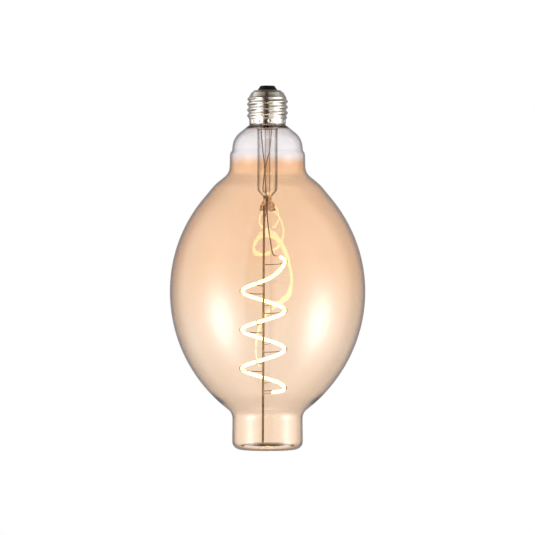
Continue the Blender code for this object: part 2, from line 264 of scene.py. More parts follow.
def sweep(path, guide, section, scale=None):
    """A section of (first, second) offsets carried along a path, shrunk to a point past each end."""
    path = np.asarray(path, float)
    first, second = frames(path, guide)
    scale = np.ones(len(path)) if scale is None else scale
    across = section[None, :, :1] * first[:, None] + section[None, :, 1:] * second[:, None]
    grid = path[:, None] + scale[:, None, None] * across
    start = np.repeat(path[:1, None], len(section), axis=1)
    end = np.repeat(path[-1:, None], len(section), axis=1)
    return np.concatenate([start, grid, end])


def circle(radius, sides):
    """A round section with a number of equal sides."""
    angle = np.arange(sides) * 2 * math.pi / sides
    return np.stack([radius * np.cos(angle), radius * np.sin(angle)], axis=1)


def smooth_route(points, spacing):
    """An even run of points on the Catmull-Rom curve through a given route."""
    route = np.asarray(points, float)
    padded = np.vstack([2 * route[0] - route[1], route, 2 * route[-1] - route[-2]])
    t = np.linspace(0, 1, 16, endpoint=False)[None, :, None]
    a, b, c, d = (padded[i:len(padded) - 3 + i][:, None] for i in range(4))
    curve = 0.5 * (2 * b + (c - a) * t + (2 * a - 5 * b + 4 * c - d) * t**2 + (3 * b - a - 3 * c + d) * t**3)
    return even_steps(np.vstack([curve.reshape(-1, 3), route[-1:]]), spacing)


def lay_mesh(name, grid, ring=False, attributes=None):
    """A closed mesh from a grid of points in millimetres, whose columns join up.

    With ring the rows join up too; otherwise the first and last rows are single points. Doubled points
    are merged, so poles close. attributes maps a name to one value for each grid point.
    """
    rows, columns = grid.shape[:2]
    index = np.arange(rows * columns).reshape(rows, columns)
    below = np.roll(index, -1, axis=0) if ring else index[1:]
    above = index if ring else index[:-1]
    quads = np.stack([above, below, np.roll(below, -1, axis=1), np.roll(above, -1, axis=1)], axis=2)
    mesh = bpy.data.meshes.new(name)
    mesh.from_pydata((grid.reshape(-1, 3) * MM).tolist(), [], quads.reshape(-1, 4).tolist())
    for label, values in (attributes or {}).items():
        layer = mesh.attributes.new(label, "FLOAT", "POINT")
        layer.data.foreach_set("value", np.asarray(values, np.float32).ravel())
    bm = bmesh.new()
    bm.from_mesh(mesh)
    bmesh.ops.remove_doubles(bm, verts=bm.verts, dist=1e-7)
    bm.to_mesh(mesh)
    bm.free()
    mesh.shade_smooth()
    return mesh


def settle(name, grid, material, nodes, ring=False, attributes=None, sharp=40.0):
    """Lays a grid as a finished piece that rides on the lamp and stands for its nodes."""
    mesh = lay_mesh(name, grid, ring, attributes)
    mesh.set_sharp_from_angle(angle=math.radians(sharp))
    mesh.materials.append(material)
    piece = bpy.data.objects.new(name, mesh)
    bpy.context.scene.collection.objects.link(piece)
    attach(piece, "root")
    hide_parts(*nodes)


def smooth_step(value, low, high):
    """Rises from 0 at low to 1 at high along a smooth S."""
    t = np.clip((value - low) / (high - low), 0.0, 1.0)
    return t * t * (3 - 2 * t)


# Places on the filament mount

def rod_x(height):
    """The leaning rod's centre at a height."""
    share = (height - ROD_HIGH.z) / (ROD_LOW.z - ROD_HIGH.z)
    return ROD_TOP_X + share * (ROD_BOTTOM_X - ROD_TOP_X)


def coil_height(angle):
    """An even helix, steeper in its first quarter turn and flatter at its end, by hyperbolic tangents."""
    even = COIL_HALF_TURN_HEIGHT - COIL_PITCH * (angle - 180.0) / 360.0
    last = COIL_END_LIFT / 2 * (1 + np.tanh((angle - COIL_END + 25.0) / 20.0))
    return even + COIL_START_LIFT / 2 * (1 - np.tanh((angle - 45.0) / 32.0)) + last


def coil_points(angle, radius=COIL_RADIUS):
    """Points of the filament at angles in degrees, clockwise from above as they go down."""
    angle = np.asarray(angle, float)
    height = coil_height(angle)
    turn = np.radians(angle)
    return np.stack([rod_x(height) + radius * np.cos(turn), -radius * np.sin(turn), height], axis=-1)


# Materials

class Nodes:
    """Adds nodes to a tree from left to right, and links them."""

    def __init__(self, tree):
        self.tree = tree
        tree.nodes.clear()

    def add(self, kind, **settings):
        node = self.tree.nodes.new(kind)
        node.location = (220 * len(self.tree.nodes), 0)
        for key, value in settings.items():
            setattr(node, key, value)
        return node

    def feed(self, source, target):
        self.tree.links.new(source, target)

    def math(self, operation, first, second=0.0):
        node = self.add("ShaderNodeMath", operation=operation)
        for socket, value in zip(node.inputs, (first, second)):
            if isinstance(value, bpy.types.NodeSocket):
                self.feed(value, socket)
            else:
                socket.default_value = value
        return node.outputs[0]

    def mix(self, factor, first, second):
        node = self.add("ShaderNodeMix", data_type="RGBA")
        for socket, value in zip((node.inputs[0], node.inputs[6], node.inputs[7]), (factor, first, second)):
            if isinstance(value, bpy.types.NodeSocket):
                self.feed(value, socket)
            else:
                socket.default_value = value if isinstance(value, float) else (*value, 1.0)
        return node.outputs[2]

    def spread(self, value, low, high, out_low, out_high):
        node = self.add("ShaderNodeMapRange")
        self.feed(value, node.inputs["Value"])
        limits = {"From Min": low, "From Max": high, "To Min": out_low, "To Max": out_high}
        for label, number in limits.items():
            node.inputs[label].default_value = number
        return node.outputs["Result"]


def new_material(name):
    """An empty material with its node helper and output node."""
    material = bpy.data.materials.new(name + "_finish")
    material.use_nodes = True
    nodes = Nodes(material.node_tree)
    return material, nodes, nodes.add("ShaderNodeOutputMaterial")


def surface_group():
    """Group: fine unevenness on Object coordinates. Puts out a cloudy mask, a fine mask and a normal."""
    if "surface_grain" in bpy.data.node_groups:
        return bpy.data.node_groups["surface_grain"]
    group = bpy.data.node_groups.new("surface_grain", "ShaderNodeTree")
    for label, start in {"Cloud Scale": 200.0, "Grain Scale": 2000.0, "Stretch": 1.0, "Bump": 0.1}.items():
        socket = group.interface.new_socket(label, in_out="INPUT", socket_type="NodeSocketFloat")
        socket.default_value = start
    for label, kind in {"Cloud": "Float", "Grain": "Float", "Normal": "Vector"}.items():
        group.interface.new_socket(label, in_out="OUTPUT", socket_type="NodeSocket" + kind)
    nodes = Nodes(group)
    entry = nodes.add("NodeGroupInput")
    leave = nodes.add("NodeGroupOutput")
    place = nodes.add("ShaderNodeTexCoord")
    stretch = nodes.add("ShaderNodeCombineXYZ")
    nodes.feed(entry.outputs["Stretch"], stretch.inputs["X"])
    nodes.feed(entry.outputs["Stretch"], stretch.inputs["Y"])
    stretch.inputs["Z"].default_value = 1.0
    scaled = nodes.add("ShaderNodeVectorMath", operation="MULTIPLY")
    nodes.feed(place.outputs["Object"], scaled.inputs[0])
    nodes.feed(stretch.outputs[0], scaled.inputs[1])
    cloud = nodes.add("ShaderNodeTexNoise")
    cloud.inputs["Detail"].default_value = 4.0
    nodes.feed(place.outputs["Object"], cloud.inputs["Vector"])
    nodes.feed(entry.outputs["Cloud Scale"], cloud.inputs["Scale"])
    grain = nodes.add("ShaderNodeTexNoise")
    grain.inputs["Detail"].default_value = 2.0
    nodes.feed(scaled.outputs[0], grain.inputs["Vector"])
    nodes.feed(entry.outputs["Grain Scale"], grain.inputs["Scale"])
    bump = nodes.add("ShaderNodeBump")
    bump.inputs["Distance"].default_value = 0.0002
    nodes.feed(entry.outputs["Bump"], bump.inputs["Strength"])
    nodes.feed(grain.outputs["Fac"], bump.inputs["Height"])
    nodes.feed(cloud.outputs["Fac"], leave.inputs["Cloud"])
    nodes.feed(grain.outputs["Fac"], leave.inputs["Grain"])
    nodes.feed(bump.outputs["Normal"], leave.inputs["Normal"])
    return group


def coated(name, dark, light, rough_low, rough_high, metallic=0.0, cloud=250.0, grain=2500.0, stretch=1.0,
           bump=0.1, specular=0.5):
    """A solid finish: two shades mixed by the cloudy mask, roughness by the fine one, and a fine bump."""
    material, nodes, output = new_material(name)
    shader = nodes.add("ShaderNodeBsdfPrincipled")
    grains = nodes.add("ShaderNodeGroup", node_tree=surface_group())
    settings = {"Cloud Scale": cloud, "Grain Scale": grain, "Stretch": stretch, "Bump": bump}
    for label, value in settings.items():
        grains.inputs[label].default_value = value
    cloudy = nodes.spread(grains.outputs["Cloud"], 0.35, 0.65, 0.0, 1.0)
    nodes.feed(nodes.mix(cloudy, dark, light), shader.inputs["Base Color"])
    roughness = nodes.spread(grains.outputs["Grain"], 0.3, 0.7, rough_low, rough_high)
    nodes.feed(roughness, shader.inputs["Roughness"])
    nodes.feed(grains.outputs["Normal"], shader.inputs["Normal"])
    shader.inputs["Metallic"].default_value = metallic
    shader.inputs["Specular IOR Level"].default_value = specular
    nodes.feed(shader.outputs[0], output.inputs["Surface"])
    return material


def glass_shader(nodes, output, colour):
    """Smooth glass that bends what is seen through it and lets the lamps' light straight through."""
    shader = nodes.add("ShaderNodeBsdfPrincipled")
    shader.inputs["Transmission Weight"].default_value = 1.0
    shader.inputs["Roughness"].default_value = 0.0
    shader.inputs["IOR"].default_value = GLASS_IOR
    pass_light = nodes.add("ShaderNodeBsdfTransparent")
    choose = nodes.add("ShaderNodeMixShader")
    rays = nodes.add("ShaderNodeLightPath")
    nodes.feed(colour, shader.inputs["Base Color"])
    nodes.feed(colour, pass_light.inputs["Color"])
    nodes.feed(rays.outputs["Is Shadow Ray"], choose.inputs[0])
    nodes.feed(shader.outputs[0], choose.inputs[1])
    nodes.feed(pass_light.outputs[0], choose.inputs[2])
    nodes.feed(choose.outputs[0], output.inputs["Surface"])


def amber_glass():
    """The envelope: a painted shadow of the cement at the neck, clear glass below it, with an amber coat
    below, whose edge is soft and a little uneven.
    """
    material, nodes, output = new_material("amber_glass")
    place = nodes.add("ShaderNodeTexCoord")
    noise = nodes.add("ShaderNodeTexNoise")
    noise.inputs["Scale"].default_value = COAT_NOISE_SCALE
    nodes.feed(place.outputs["Object"], noise.inputs["Vector"])
    split = nodes.add("ShaderNodeSeparateXYZ")
    nodes.feed(place.outputs["Object"], split.inputs[0])
    centred = nodes.math("SUBTRACT", noise.outputs["Fac"], 0.5)
    uneven = nodes.math("MULTIPLY", centred, COAT_UNEVENNESS * MM)
    height = nodes.math("ADD", split.outputs["Z"], uneven)
    share = nodes.spread(height, NECK_SHADOW_TOP * MM, COAT_END * MM, 0.0, 1.0)
    ramp = nodes.add("ShaderNodeValToRGB")
    stops = ramp.color_ramp.elements
    stops.remove(stops[1])
    # The ramp begins with the painted shadow of the cement, dark brown in and just below the cap.
    stops[0].color = (*NECK_PAINTED_SHADOW, 1.0)
    tints = [(level, CLEAR_GLASS) for level in (NECK_SHADOW_END, COAT_EDGE)]
    # The thinner coat on the lower body is painted light: a paler tint standing in for light on the lower
    # glass.
    tints += [(level, np.array(AMBER_COAT) ** thickness) for level, thickness in COAT_DEPTH_AND_PAINTED_LIGHT]
    for level, tint in tints:
        stop = stops.new((level - NECK_SHADOW_TOP) / (COAT_END - NECK_SHADOW_TOP))
        stop.color = (*tint, 1.0)
    nodes.feed(share, ramp.inputs[0])
    glass_shader(nodes, output, ramp.outputs[0])
    return material


def smoky_glass(name, thin, thick, edge, cloud=150.0):
    """Glass with faint cloudy smoke between two tints, darker where it is seen edge on: partly the longer
    path through the glass, partly painted shade for the dark surroundings seen in its rims.
    """
    material, nodes, output = new_material(name)
    place = nodes.add("ShaderNodeTexCoord")
    noise = nodes.add("ShaderNodeTexNoise")
    noise.inputs["Scale"].default_value = cloud
    nodes.feed(place.outputs["Object"], noise.inputs["Vector"])
    smoke = nodes.mix(nodes.spread(noise.outputs["Fac"], 0.35, 0.65, 0.0, 1.0), thin, thick)
    # Edge on, the tint darkens: partly the longer path through the glass, partly painted shade.
    facing = nodes.add("ShaderNodeLayerWeight")
    facing.inputs["Blend"].default_value = 0.5
    rim = nodes.math("POWER", nodes.spread(facing.outputs["Facing"], 0.35, 0.85, 0.0, 1.0), 1.5)
    glass_shader(nodes, output, nodes.mix(rim, smoke, edge))
    return material


def lit_phosphor(colour, strength):
    """The lit strip: warm light, a little brighter over each buried chip along its length."""
    material, nodes, output = new_material("lit_phosphor")
    shader = nodes.add("ShaderNodeBsdfPrincipled")
    along = nodes.add("ShaderNodeAttribute", attribute_name="along")
    wave = nodes.math("SINE", nodes.math("MULTIPLY", along.outputs["Fac"], 2 * math.pi / CHIP_SPACING))
    glow = nodes.spread(wave, -1.0, 1.0, 0.0, 1.0)
    dim = tuple(0.86 * channel for channel in colour)
    nodes.feed(nodes.mix(glow, dim, colour), shader.inputs["Emission Color"])
    nodes.feed(nodes.mix(glow, (0.95, 0.68, 0.10), (1.0, 0.78, 0.16)), shader.inputs["Base Color"])
    shader.inputs["Roughness"].default_value = 0.5
    shader.inputs["Emission Strength"].default_value = strength
    nodes.feed(shader.outputs[0], output.inputs["Surface"])
    return material


def finish(name):
    """The material of one finish, made the first time it is asked for."""
    made = bpy.data.materials.get(name + "_finish")
    if made is not None:
        return made
    if name == "amber_glass":
        return amber_glass()
    if name == "lit_phosphor":
        colours = bpy.context.scene.lamp_colours
        return lit_phosphor(tuple(colours.light), colours.light_strength)
    if name in SMOKY_FINISHES:
        return smoky_glass(name, **SMOKY_FINISHES[name])
    return coated(name, **SOLID_FINISHES[name])


# Two shades, the lowest and highest roughness, and whatever differs from the usual solid finish.
SOLID_FINISHES = {
    "nickel_plate": dict(dark=(0.60, 0.56, 0.50), light=(0.80, 0.77, 0.72), rough_low=0.14, rough_high=0.24,
                         metallic=1.0, cloud=350.0, grain=1800.0, stretch=0.2, bump=0.03),
    "black_vitrite": dict(dark=(0.003, 0.003, 0.003), light=(0.009, 0.008, 0.008), rough_low=0.25,
                          rough_high=0.45, grain=3000.0, bump=0.15, specular=0.12),
    "contact_solder": dict(dark=(0.45, 0.45, 0.44), light=(0.68, 0.68, 0.66), rough_low=0.25, rough_high=0.5,
                           metallic=1.0, grain=1500.0, bump=0.3),
    "cap_cement": dict(dark=(0.42, 0.34, 0.25), light=(0.60, 0.52, 0.40), rough_low=0.75, rough_high=0.95,
                       bump=0.6),
    "board_green": dict(dark=(0.015, 0.10, 0.04), light=(0.03, 0.17, 0.07), rough_low=0.3, rough_high=0.5),
    "can_black": dict(dark=(0.012, 0.012, 0.016), light=(0.03, 0.03, 0.035), rough_low=0.3, rough_high=0.5),
    "ferrite": dict(dark=(0.03, 0.028, 0.028), light=(0.07, 0.065, 0.06), rough_low=0.5, rough_high=0.7,
                    bump=0.3),
    "chip_black": dict(dark=(0.01, 0.01, 0.01), light=(0.025, 0.025, 0.025), rough_low=0.45, rough_high=0.65,
                       bump=0.2),
    "shield_tin": dict(dark=(0.55, 0.55, 0.54), light=(0.75, 0.75, 0.73), rough_low=0.2, rough_high=0.4,
                       metallic=1.0),
    "fuse_blue": dict(dark=(0.03, 0.16, 0.28), light=(0.07, 0.27, 0.42), rough_low=0.4, rough_high=0.6),
    "tinned_copper": dict(dark=(0.45, 0.38, 0.30), light=(0.66, 0.60, 0.52), rough_low=0.25, rough_high=0.45,
                          metallic=1.0),
    # The lead wires' dark brown is partly their own colour, partly painted shade for the dark surroundings
    # they would mirror.
    "nickel_wire": dict(dark=(0.13, 0.078, 0.045), light=(0.22, 0.135, 0.075), rough_low=0.28, rough_high=0.5,
                        metallic=1.0, cloud=500.0, grain=3000.0, stretch=3.0),
    "rod_wire": dict(dark=(0.17, 0.115, 0.075), light=(0.28, 0.19, 0.125), rough_low=0.3, rough_high=0.5,
                     metallic=1.0, cloud=300.0, grain=3000.0, stretch=3.0),
    "hook_wire": dict(dark=(0.05, 0.03, 0.02), light=(0.10, 0.06, 0.04), rough_low=0.3, rough_high=0.5,
                      metallic=1.0, cloud=600.0, grain=4000.0),
    "copper": dict(dark=(0.62, 0.24, 0.09), light=(0.86, 0.42, 0.18), rough_low=0.25, rough_high=0.45,
                   metallic=1.0, cloud=500.0),
    "pale_floor": dict(dark=(0.90, 0.90, 0.90), light=(0.94, 0.94, 0.94), rough_low=0.7, rough_high=0.9,
                       cloud=3.0, grain=60.0, bump=0.02),
}
# Tints where the smoke is thin, where it is thick, and at an edge, where the dark tint is partly painted
# shade.
SMOKY_FINISHES = {
    "clear_glass": dict(thin=(0.98, 0.97, 0.96), thick=(0.94, 0.92, 0.90), edge=(0.30, 0.22, 0.16)),
    # On the press, the strong mottling of a pale and a dark brown is partly painted light and shade of its
    # crumpled glass.
    "press_glass": dict(thin=(0.80, 0.62, 0.48), thick=(0.30, 0.19, 0.12), edge=(0.22, 0.13, 0.08),
                        cloud=420.0),
}


# Settings

class LampSizes(bpy.types.PropertyGroup):
    """Sizes that may be changed without leaving the frame."""

    glass_wall: FloatProperty(name="Glass Wall", description="Thickness of the envelope's wall",
                              default=1.0 * MM, min=0.5 * MM, max=2.0 * MM, unit="LENGTH")
    filament_thickness: FloatProperty(name="Filament Thickness", description="How thick the LED strip is",
                                      default=1.5 * MM, min=1.0 * MM, max=2.3 * MM, unit="LENGTH")
    dent_depth: FloatProperty(name="Dent Depth", description="Depth of the staking dents in the cap's skirt",
                              default=0.4 * MM, min=0.0, max=0.6 * MM, unit="LENGTH")
    dent_count: IntProperty(name="Dents", description="Number of staking dents round the skirt", default=12,
                            min=0, max=24)
    columns: IntProperty(name="Columns", description="Faces round the envelope", default=144, min=32, max=192)


class LampColours(bpy.types.PropertyGroup):
    """Colours of the light and the surroundings."""

    light: FloatVectorProperty(name="Light", description="Colour of the lit filament", subtype="COLOR",
                               default=(1.0, 0.92, 0.34), min=0.0, max=1.0)
    light_strength: FloatProperty(name="Light Strength", description="Brightness of the lit filament",
                                  default=8.0, min=0.0, max=50.0)
    surroundings: FloatVectorProperty(name="Surroundings", description="Colour of the studio round the lamp",
                                      subtype="COLOR", default=(1.0, 1.0, 1.0), min=0.0, max=1.0)


# Pieces

class LampOperator:
    """What the lamp's operators share."""

    bl_options = {"REGISTER", "UNDO"}

    def execute(self, context):
        self.build(context.scene.lamp_sizes)
        return {"FINISHED"}


class LAMP_OT_envelope(LampOperator, bpy.types.Operator):
    """Turned glass envelope with an inner and an outer wall, closed at the neck's rim"""

    bl_idname = "lamp.envelope"
    bl_label = "Glass Envelope"

    def build(self, sizes):
        end, radius = GLASS_END, GLASS_RADIUS
        corners = [(NECK_RADIUS, NECK_TOP, 0), (NECK_RADIUS, -24.0, 1.4), (13.9, -27.0, 1.6),
                   (21.9, -33.4, 12.5), (22.7, -42.1, 1.3), (24.0, -43.0, 1.3), (24.3, -55.8, 8.5),
                   (33.5, -63.2, 25.0),
                   (radius, -97.9, 92.0), (radius, -177.7, 94.5), (22.35, -209.2, 7.0), (22.65, end, 5.2),
                   (16.2, end, 1.4), (14.8, end + 2.5, 1.4), (0, end + 2.5, 0)]
        outer = round_outline(corners, 1.5)
        wall = sizes.glass_wall / MM
        inner = inward(outer, wall)
        inner = inner[inner[:, 1] > end + 12.0]
        radius_above = inner[-1, 0]
        inner = bead(inner, *NECK_BEAD)
        inner = bead(inner, *WAIST_BEAD)
        base = round_outline([(radius_above, inner[-1, 1], 0), (22.4 - wall, end + 1.0, 4.5),
                              (17.5, end + 1.1, 3.0), (12.0, end + 3.6, 5.0), (0, end + 3.6, 0)], 0.8)
        outline = np.vstack([base[::-1], inner[-2::-1], outer])

        def push(radius, height, angle):
            """Slow waves round the blown body, always inwards, fading at its two ends."""
            body = smooth_step(-height, 60.0, 90.0) * (1 - smooth_step(-height, 190.0, 205.0))
            waves = 1 + 0.5 * np.sin(3 * angle + height / 17) + 0.5 * np.sin(2 * angle - height / 29)
            return -GLASS_WAVE * body * waves

        settle("glass_envelope_blown", spin(outline, sizes.columns, push), finish("amber_glass"),
               ["glass_envelope"], sharp=60.0)


class LAMP_OT_cap(LampOperator, bpy.types.Operator):
    """Rolled screw shell, black insulator, centre contact and cement"""

    bl_idname = "lamp.cap"
    bl_label = "Screw Cap"

    def build(self, sizes):
        self.shell(sizes)
        top = 0.0
        insulator = round_outline([(3.6, -0.6, 0), (3.7, -0.2, 0.12), (4.5, -0.12, 0.25), (6.4, -2.95, 0.4),
                                   (6.5, -4.1, 0.3), (7.5, -4.3, 0.3), (7.9, -5.0, 0.2), (1.2, -5.0, 0.2),
                                   (1.2, -0.95, 0.2), (3.6, -0.95, 0.1), (3.6, -0.62, 0)], 0.2)
        settle("cap_insulator_glazed", spin(insulator, 96), finish("black_vitrite"),
               ["cap_insulator"], ring=True)
        contact = round_outline([(0, top, 0), (2.6, top, 8.0), (3.5, -0.3, 0.15), (3.5, -0.6, 0.05),
                                 (0.9, -0.65, 0.1), (0.9, -5.0, 0.2), (0, -5.0, 0)], 0.2)
        settle("centre_contact_soldered", spin(contact, 72), finish("contact_solder"),
               ["centre_contact"])
        inner, outer = NECK_RADIUS + 0.35, NECK_RADIUS + 0.8
        ring = round_outline([(outer, NECK_TOP - 0.6, 0), (outer, SHELL_LOW.z + 0.6, 0.15),
                              (inner, SHELL_LOW.z + 0.6, 0.15), (inner, NECK_TOP - 0.6, 0)], 0.3)
        settle("base_cement_cured", spin(ring, 96), finish("cap_cement"), ["base_cement"],
               ring=True)

    def shell(self, sizes):
        """The blank pushed out along a right-hand helix: radius grows by the cosine of the thread's phase."""
        corners = [(6.8, -2.95, 0), (8.6, -3.1, 0.9), (9.6, -4.25, 0.4), (10.2, -4.35, 0.5),
                   (11.2, -6.2, 2.0), (12.2, -7.9, 1.0),
                   (THREAD_MEAN_RADIUS, THREAD_START - 0.4, 0.5), (THREAD_MEAN_RADIUS, THREAD_END, 0.8),
                   (11.72, THREAD_END - 1.3, 0.8), (11.7, SHELL_LOW.z, 0)]
        outer = round_outline(corners, 0.2)
        inner = inward(outer, SHELL_SHEET)
        inner[:, 1] = np.clip(inner[:, 1], SHELL_LOW.z, SHELL_HIGH.z)
        outline = np.vstack([outer, inner[::-1]])
        dent_depth, dents = sizes.dent_depth / MM, sizes.dent_count

        def push(radius, height, angle):
            ends = smooth_step(-height, -THREAD_START - 0.7, -THREAD_START + 1.0)
            ends = ends * (1 - smooth_step(-height, -THREAD_END - 0.9, -THREAD_END + 0.9))
            wave = np.cos(2 * math.pi * (height - CREST_HEIGHT) / THREAD_PITCH - angle)
            spacing = 2 * math.pi / max(dents, 1)
            around = (np.mod(angle + DENT_TURN, spacing) - spacing / 2) * radius
            dent = np.exp(-(around**2 + (height - DENT_HEIGHT) ** 2) / DENT_SPREAD) * (dents > 0)
            return THREAD_DEPTH / 2 * wave * ends - dent_depth * dent

        settle("screw_shell_rolled", spin(outline, 288, push), finish("nickel_plate"),
               ["screw_shell"], ring=True, sharp=60.0)


class LAMP_OT_stem(LampOperator, bpy.types.Operator):
    """Flared stem tube, pinched press and tipped-off exhaust tube"""

    bl_idname = "lamp.stem"
    bl_label = "Glass Stem"

    def build(self, sizes):
        outside = round_outline([(10.1, -15.3, 0), (10.1, -16.2, 0.2), (8.8, -16.4, 0.6), (8.8, -22.8, 3.0),
                                 (9.6, -25.3, 0.9), (8.6, -26.7, 1.1), (STEM_RADIUS, -27.9, 1.8),
                                 (STEM_RADIUS, -67.2, 4.5), (3.5, -70.6, 0)], 0.4)
        inside = round_outline([(3.4, -69.7, 0), (5.3, -67.4, 3.0), (5.4, -27.2, 1.6), (7.2, -26.0, 1.1),
                                (7.7, -24.4, 1.2), (7.7, -15.3, 0)], 0.4)

        def wobble(radius, height, angle):
            """Hand-drawn tube: a slow wave that grows toward the pinched end."""
            end = smooth_step(-height, 55.0, 70.0)
            return -0.05 * (1 + np.sin(2 * angle + height / 9)) - 0.25 * end * (0.5 + 0.5 * np.cos(3 * angle))

        settle("stem_flare_drawn", spin(np.vstack([outside, inside]), 96, wobble), finish("clear_glass"),
               ["stem_flare_tube"], ring=True, sharp=60.0)
        self.press()
        tube = np.vstack([round_outline([(0, -13.2, 0), (1.8, -13.2, 1.6), (1.8, -68.0, 0)], 0.5),
                          round_outline([(1.1, -68.0, 0), (1.1, -15.2, 0.9), (0, -15.2, 0)], 0.5)])
        settle("exhaust_tube_tipped", spin(tube, 40), finish("clear_glass"), ["exhaust_tube"],
               sharp=60.0)

    def press(self):
        """A round neck that widens into a flat two-lobed blade, with shallow jaw marks across it.

        The blade's half width and half depth are smooth steps of the height. The two lobes come from
        lifting the middle of its lower edge.
        """
        top, bottom = PRESS_HIGH.z, PRESS_LOW.z
        share = np.linspace(0, 1, 60)[:, None]
        angle = (np.arange(64) * 2 * math.pi / 64)[None]
        height = top + (bottom - top) * share
        blade = smooth_step(-height, -top + 2.2, -top + 7.8)
        close = np.sqrt(np.clip(1 - ((share - 0.86) / 0.14).clip(0, 1) ** 2, 0, 1))
        mouth = np.sqrt(np.clip(1 - ((0.05 - share) / 0.05).clip(0, 1) ** 2, 0, 1))
        neck, widening, flattening = 2.9, 2.05, 0.9
        width = (neck + widening * blade - 0.35 * np.exp(-((height + 73.0) / 1.4) ** 2)) * close * mouth
        depth = (neck - flattening * blade) * close * mouth
        marks = 1 - 0.10 * blade * (0.5 + 0.5 * np.cos(height * 2.6)) * np.abs(np.sin(angle))
        folds = 0.07 * blade * np.sin(3 * angle + 1.9 * height) * np.sin(1.3 * height + 2 * angle)
        x = width * np.cos(angle) * (1 - 0.05 * blade * np.cos(height * 1.7) - np.abs(folds))
        y = depth * np.sin(angle) * marks * (1 - 3 * np.abs(folds))
        lift = 1.7 * blade * np.exp(-((x + 0.4) / 1.5) ** 2) * smooth_step(share, 0.7, 1.0)
        z = np.broadcast_to(height, x.shape) + lift
        settle("stem_press_pinched", np.stack([x, y, z], axis=2), finish("press_glass"),
               ["stem_press"], sharp=60.0)


class LAMP_OT_wires(LampOperator, bpy.types.Operator):
    """Lead wires, the stub in the stem, the support rod and the two end pins"""

    bl_idname = "lamp.wires"
    bl_label = "Leads and Rod"

    def build(self, sizes):
        under = BOARD_LOW.z - 0.3
        hx, hy = LEAD_HOLE
        x, y, z = coil_points(COIL_START - 2.0)
        self.wire("lead_wire_top", [(-3.9, -2.6, under + 0.8), (-4.0, -2.6, -25), (-3.0, -2.8, -40),
                                    (-1.7, -2.9, -53.4), (-2.7, -2.2, -64), (-2.4, -1.7, -67.8),
                                    (hx, hy, PRESS_HIGH.z - 0.4), (hx, hy, PRESS_LOW.z), (0.6, 1.2, -90.7),
                                    (3.2, 4.9, -106.5), (x - 2.5, y - 1.3, z + 0.4)], LEAD_WIRE_RADIUS)
        hx, hy = RETURN_HOLE
        self.wire("lead_wire_return", [(2.0, 2.8, under + 0.8), (3.4, 0.4, -16.5), (3.1, -2.2, -21.5),
                                       (2.6, -2.9, -27), (1.5, -3.6, -39.7), (0.0, -4.0, -47),
                                       (-1.3, -4.1, -53.5), (-1.2, -3.4, -64), (-1.0, -2.5, -68.2),
                                       (hx, hy, PRESS_HIGH.z - 0.4), (hx, hy, PRESS_LOW.z),
                                       (-1.5, -1.45, -84), (-2.2, -1.2, -87.5)], RETURN_WIRE_RADIUS)
        hx, hy = STUB_HOLE
        self.wire("press_stub_wire", [(hx, hy, -72.6), (hx, hy, -70.3), (-1.1, 2.5, -68.2),
                                      (-1.2, 2.6, -63.3)], STUB_WIRE_RADIUS)
        height = np.linspace(ROD_HIGH.z, ROD_LOW.z, 120)
        rod = np.stack([rod_x(height), 0 * height, height], axis=1)
        ends = np.minimum(1.0, 0.6 + np.minimum(height - ROD_LOW.z, ROD_HIGH.z - height) / 0.8)
        self.lay("support_rod", rod, ROD_RADIUS, 24, ends, "rod_wire", "nickel_wire")
        x, y, z = coil_points(COIL_START - 2.0)
        self.wire("top_electrode", [(x, y, z), (x - 1.9, y - 0.9, z + 0.3)], TOP_PIN_RADIUS, "copper")
        x, y, z = coil_points(COIL_END + 2.0)
        low = z - 1.1
        self.wire("bottom_electrode", [(x, y, z), (x - 1.8, y + 0.1, z - 0.4),
                                       (rod_x(low) + 0.4, y + 1.6, z - 0.7),
                                       (rod_x(low), -ROD_RADIUS - 0.3, low)], BOTTOM_PIN_RADIUS, "copper")

    def wire(self, name, route, radius, finish_name="nickel_wire"):
        path = smooth_route(route, 0.8)
        self.lay(name, path, radius, 14, None, finish_name, finish_name)

    def lay(self, name, path, radius, sides, scale, finish_name, slot):
        grid = sweep(path, (1.0, 0.35, 0.0), circle(radius, sides), scale)
        settle(name + "_drawn", grid, finish(finish_name), [name])


class LAMP_OT_hooks(LampOperator, bpy.types.Operator):
    """Thin wires from the rod, each bent into a hook round the filament"""

    bl_idname = "lamp.hooks"
    bl_label = "Hook Wires"

    def build(self, sizes):
        """In the plane of its angle, a hook runs straight out, then round a circle about the strip."""
        clear = ROD_RADIUS - 0.1
        bend = STRIP_RADIUS + 0.35
        around = np.radians(np.linspace(-128, 62, 40))
        for number, angle in enumerate(HOOK_ANGLES, start=1):
            height = float(coil_height(angle))
            out = np.concatenate([[clear, 5.0, 9.5], COIL_RADIUS + bend * np.cos(around)])
            up = np.concatenate([[height - 1.9, height - 1.85, height - 1.6], height + bend * np.sin(around)])
            turn = math.radians(angle)
            base = float(rod_x(height))
            route = np.stack([base + out * math.cos(turn), -out * math.sin(turn), up], axis=1)
            side = (math.sin(turn), math.cos(turn), 0.0)
            grid = sweep(even_steps(route, 0.3), side, circle(HOOK_WIRE_RADIUS, 10))
            node = f"hook_wire_{number:02d}"
            settle(node + "_bent", grid, finish("hook_wire"), [node])


